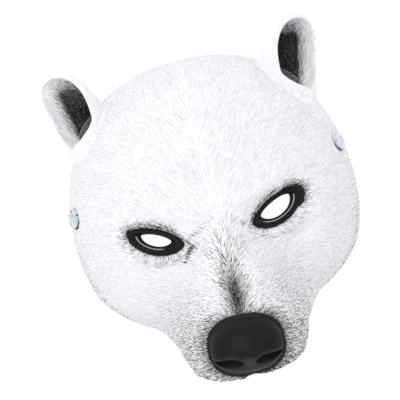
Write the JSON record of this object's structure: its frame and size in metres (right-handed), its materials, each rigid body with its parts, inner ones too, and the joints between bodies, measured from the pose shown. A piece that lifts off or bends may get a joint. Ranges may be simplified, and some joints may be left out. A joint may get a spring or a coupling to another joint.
{
  "type": "bear half mask",
  "caption": "Wearable half mask shaped as a white bear's head: hollow foam shell, cupped ears, black nose, open eyes and a rivet at each temple.",
  "frame": {"origin": "middle of the mask's box in X and Y, on the plane that the trimmed rim rests on", "axes": "+X to the right as seen from in front, +Y to the crown and the ears, +Z out of the face, up from the table"},
  "size_m": [0.1886, 0.2112, 0.1225],
  "materials": {
    "white_foam": "moulded fur relief, dry-brushed with grey and black",
    "black_skin": "smooth moulded foam, satin black paint",
    "nickel": "nickel plated, polished"
  },
  "bodies": {
    "root": {"face_shell": "white_foam", "ear_left": "white_foam", "ear_right": "white_foam", "nose": "black_skin", "eyelid_left": "black_skin", "eyelid_right": "black_skin", "rivet_left": "nickel", "rivet_right": "nickel", "rivet_washer_left": "nickel", "rivet_washer_right": "nickel"}
  },
  "joints": []
}
